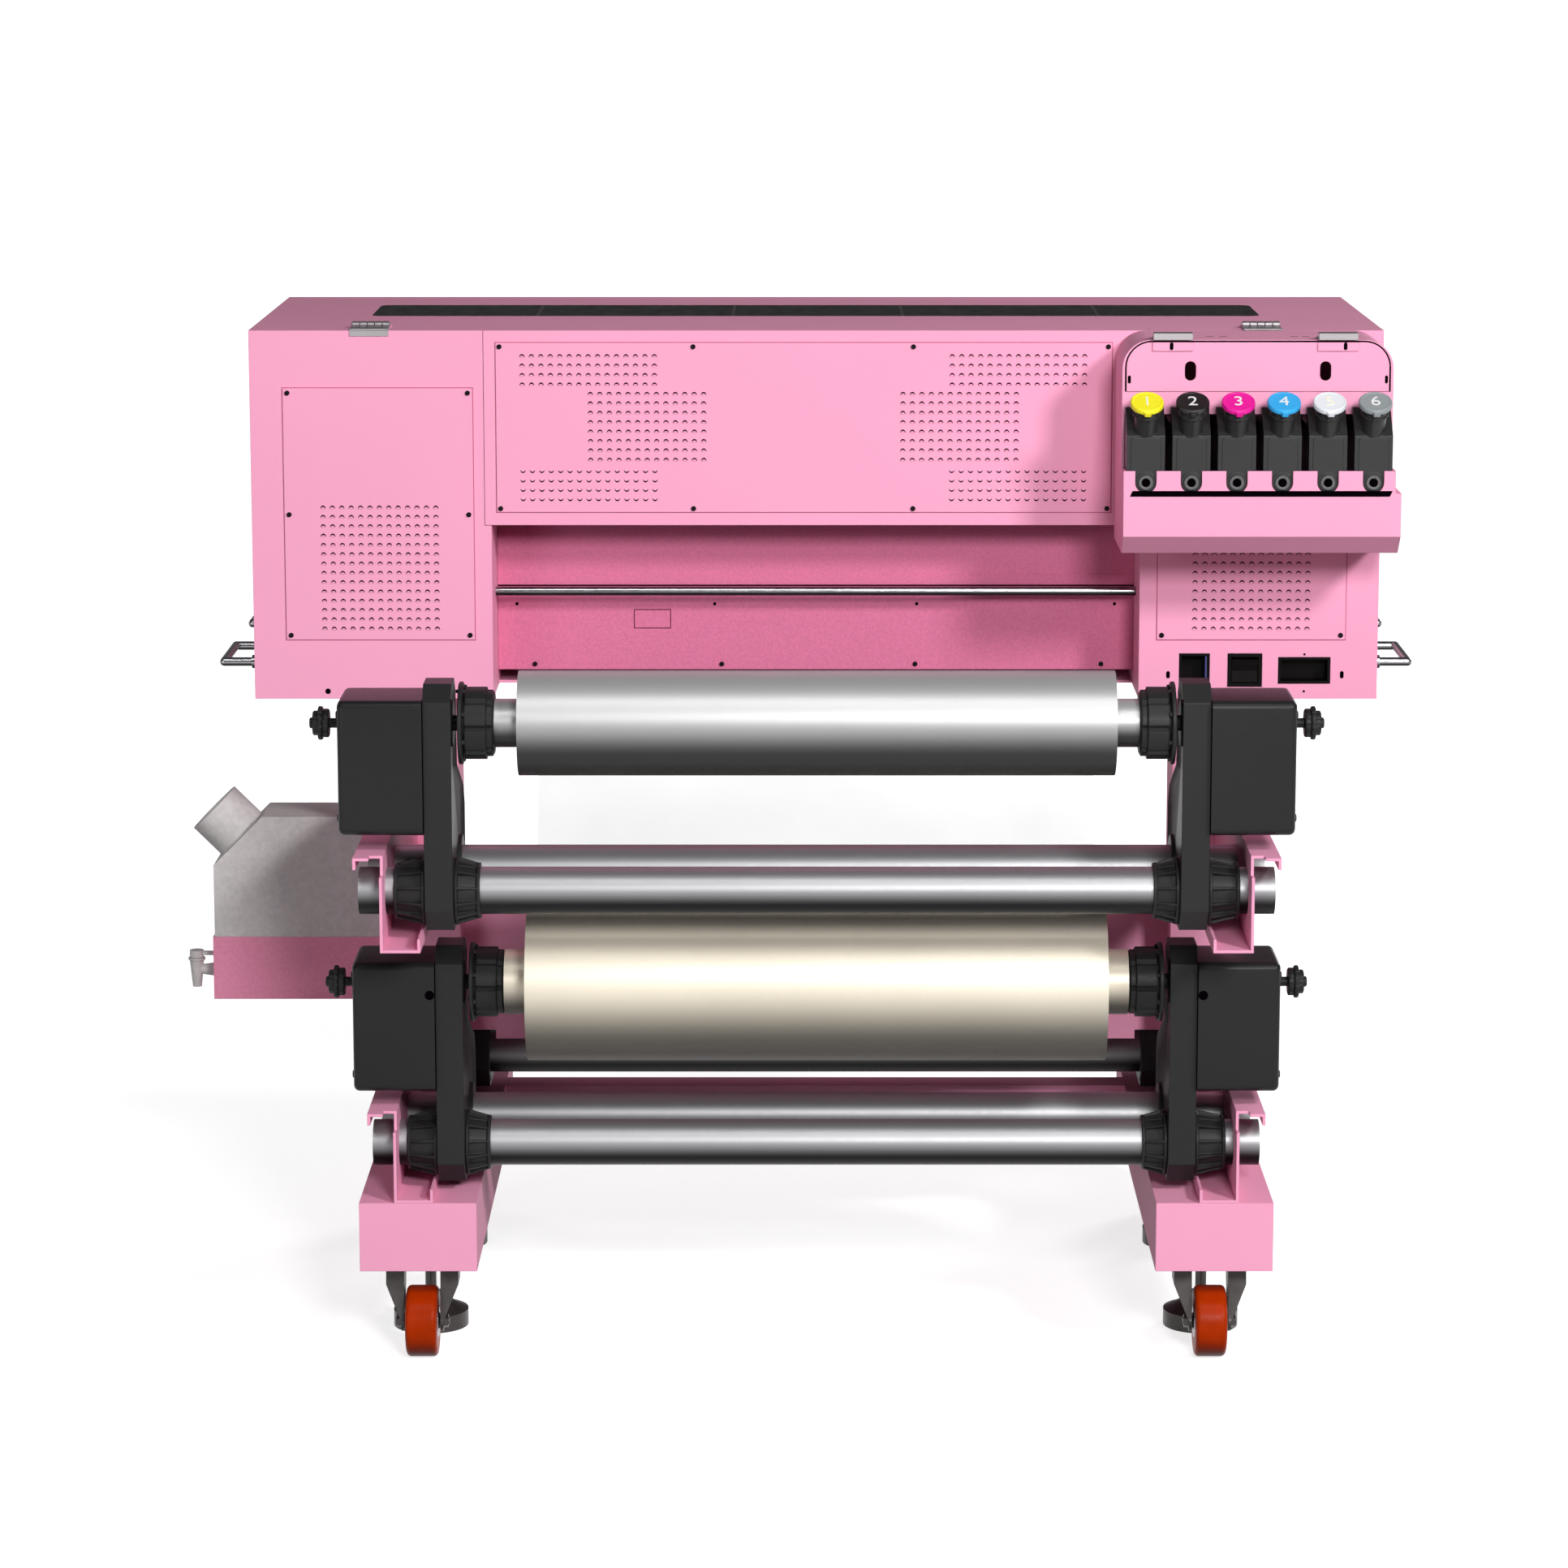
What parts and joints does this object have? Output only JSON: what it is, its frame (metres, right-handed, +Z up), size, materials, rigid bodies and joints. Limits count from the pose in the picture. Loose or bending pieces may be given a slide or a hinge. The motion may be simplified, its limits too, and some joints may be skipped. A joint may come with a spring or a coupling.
{
  "type": "roll-to-roll film printer",
  "caption": "Pink roll-to-roll UV film printer on a castered stand, with driven film rolls, ink tanks, fume hood and a hinged lid",
  "frame": {"origin": "on the floor, midway between the four levelling pads", "axes": "+X to the ink station's side along the rolls, +Y from the film rolls at the rear to the operator's front, +Z up"},
  "size_m": [1.3464, 1.004, 1.0695],
  "materials": {
    "pink_sheet": "satin",
    "black_casting": "satin",
    "steel_tube": "satin",
    "chromed": "polished",
    "dark_steel": "satin",
    "silver_film": "satin",
    "cream_film": "satin",
    "clear_film": "translucent",
    "cardboard_core": "matte",
    "orange_wheel": "satin",
    "smoked_window": "gloss",
    "machined_aluminium": "satin",
    "grey_shell": "textured",
    "cap_plastic": "gloss",
    "black_rubber": "matte",
    "grey_tap": "satin"
  },
  "bodies": {
    "frame": {"foot_left": "pink_sheet", "foot_right": "pink_sheet", "columns": "pink_sheet", "cross_beam": "pink_sheet", "control_cabinet": "pink_sheet", "tube_brackets": "pink_sheet", "roll_tubes": "steel_tube", "upper_arms": "black_casting", "lower_arms": "black_casting", "front_arms": "black_casting", "tube_clamps": "black_casting", "drive_boxes": "black_casting", "cabinet_left": "pink_sheet", "cabinet_right": "pink_sheet", "base_pan": "pink_sheet", "rear_cover": "pink_sheet", "access_panels": "pink_sheet", "recess_panels": "pink_sheet", "front_cover": "pink_sheet", "platen": "machined_aluminium", "hinges": "chromed", "ink_station": "pink_sheet", "ink_tanks": "black_casting", "ink_caps": "cap_plastic", "gantry_beam": "machined_aluminium", "carriage_drive": "black_casting", "exhaust_hood": "grey_shell", "waste_tank": "pink_sheet", "drain_tap": "grey_tap", "side_handles": "chromed", "film_web": "clear_film", "power_inlet": "black_casting", "fasteners": "dark_steel"},
    "lid": {"top_lid": "pink_sheet", "lid_window": "smoked_window"},
    "flap": {"ink_flap": "pink_sheet"},
    "upper_roll": {"upper_film_roll": "silver_film", "upper_chucks": "black_casting"},
    "lower_roll": {"lower_film_roll": "cream_film", "lower_chucks": "black_casting"},
    "takeup": {"takeup_core": "cardboard_core", "takeup_chucks": "black_casting"},
    "idler": {"idler_rod": "chromed"},
    "feed": {"feed_roller": "steel_tube"},
    "pinch": {"pinch_rollers": "black_rubber"},
    "carriage": {"print_carriage": "machined_aluminium"},
    "fork_rear_left": {"caster_fork_rear_left": "dark_steel"},
    "wheel_rear_left": {"caster_wheel_rear_left": "orange_wheel"},
    "pad_rear_left": {"levelling_foot_rear_left": "dark_steel"},
    "fork_rear_right": {"caster_fork_rear_right": "dark_steel"},
    "wheel_rear_right": {"caster_wheel_rear_right": "orange_wheel"},
    "pad_rear_right": {"levelling_foot_rear_right": "dark_steel"},
    "fork_front_left": {"caster_fork_front_left": "dark_steel"},
    "wheel_front_left": {"caster_wheel_front_left": "orange_wheel"},
    "pad_front_left": {"levelling_foot_front_left": "dark_steel"},
    "fork_front_right": {"caster_fork_front_right": "dark_steel"},
    "wheel_front_right": {"caster_wheel_front_right": "orange_wheel"},
    "pad_front_right": {"levelling_foot_front_right": "dark_steel"},
    "tap": {"tap_lever": "black_casting"},
    "switch": {"power_switch": "black_casting"}
  },
  "joints": [
    {"name": "lid_hinge", "type": "hinge", "parent": "frame", "child": "lid", "pos_m": [0, -0.055, 1.066], "axis": [1, 0, 0], "range_deg": [0, 75]},
    {"name": "flap_hinge", "type": "hinge", "parent": "frame", "child": "flap", "pos_m": [0.4575, -0.195, 1.066], "axis": [-1, 0, 0], "range_deg": [0, 80]},
    {"name": "upper_roll_spin", "type": "hinge", "parent": "frame", "child": "upper_roll", "pos_m": [0, -0.399, 0.6945], "axis": [1, 0, 0], "continuous": true},
    {"name": "lower_roll_spin", "type": "hinge", "parent": "frame", "child": "lower_roll", "pos_m": [0, -0.274, 0.4005], "axis": [1, 0, 0], "continuous": true},
    {"name": "takeup_spin", "type": "hinge", "parent": "frame", "child": "takeup", "pos_m": [0, 0.264, 0.3835], "axis": [1, 0, 0], "continuous": true},
    {"name": "idler_spin", "type": "hinge", "parent": "frame", "child": "idler", "pos_m": [0, -0.024, 0.776], "axis": [1, 0, 0], "continuous": true},
    {"name": "feed_spin", "type": "hinge", "parent": "frame", "child": "feed", "pos_m": [0, 0.43, 0.844], "axis": [1, 0, 0], "continuous": true},
    {"name": "pinch_spin", "type": "hinge", "parent": "frame", "child": "pinch", "pos_m": [0, 0.43, 0.8643], "axis": [1, 0, 0], "continuous": true},
    {"name": "carriage_travel", "type": "slide", "parent": "frame", "child": "carriage", "axis": [1, 0, 0], "range_m": [-0.96, 0]},
    {"name": "swivel_rear_left", "type": "hinge", "parent": "frame", "child": "fork_rear_left", "pos_m": [-0.414, -0.266, 0.1], "axis": [0, 0, 1], "continuous": true},
    {"name": "roll_rear_left", "type": "hinge", "parent": "fork_rear_left", "child": "wheel_rear_left", "pos_m": [-0.414, -0.284, 0.0375], "axis": [1, 0, 0], "continuous": true},
    {"name": "level_rear_left", "type": "slide", "parent": "frame", "child": "pad_rear_left", "axis": [0, 0, 1], "range_m": [0, 0.03]},
    {"name": "swivel_rear_right", "type": "hinge", "parent": "frame", "child": "fork_rear_right", "pos_m": [0.414, -0.266, 0.1], "axis": [0, 0, 1], "continuous": true},
    {"name": "roll_rear_right", "type": "hinge", "parent": "fork_rear_right", "child": "wheel_rear_right", "pos_m": [0.414, -0.284, 0.0375], "axis": [1, 0, 0], "continuous": true},
    {"name": "level_rear_right", "type": "slide", "parent": "frame", "child": "pad_rear_right", "axis": [0, 0, 1], "range_m": [0, 0.03]},
    {"name": "swivel_front_left", "type": "hinge", "parent": "frame", "child": "fork_front_left", "pos_m": [-0.414, 0.266, 0.1], "axis": [0, 0, 1], "continuous": true},
    {"name": "roll_front_left", "type": "hinge", "parent": "fork_front_left", "child": "wheel_front_left", "pos_m": [-0.414, 0.284, 0.0375], "axis": [1, 0, 0], "continuous": true},
    {"name": "level_front_left", "type": "slide", "parent": "frame", "child": "pad_front_left", "axis": [0, 0, 1], "range_m": [0, 0.03]},
    {"name": "swivel_front_right", "type": "hinge", "parent": "frame", "child": "fork_front_right", "pos_m": [0.414, 0.266, 0.1], "axis": [0, 0, 1], "continuous": true},
    {"name": "roll_front_right", "type": "hinge", "parent": "fork_front_right", "child": "wheel_front_right", "pos_m": [0.414, 0.284, 0.0375], "axis": [1, 0, 0], "continuous": true},
    {"name": "level_front_right", "type": "slide", "parent": "frame", "child": "pad_front_right", "axis": [0, 0, 1], "range_m": [0, 0.03]},
    {"name": "tap_turn", "type": "hinge", "parent": "frame", "child": "tap", "pos_m": [-0.696, 0.141, 0.3235], "axis": [0, 0, -1], "range_deg": [0, 90]},
    {"name": "switch_rock", "type": "hinge", "parent": "frame", "child": "switch", "pos_m": [0.4585, -0.075, 0.699], "axis": [1, 0, 0], "range_deg": [-14, 0]}
  ],
  "couplings": [
    {"joint": "pinch_spin", "follows": "feed_spin", "ratio": -1.5}
  ]
}
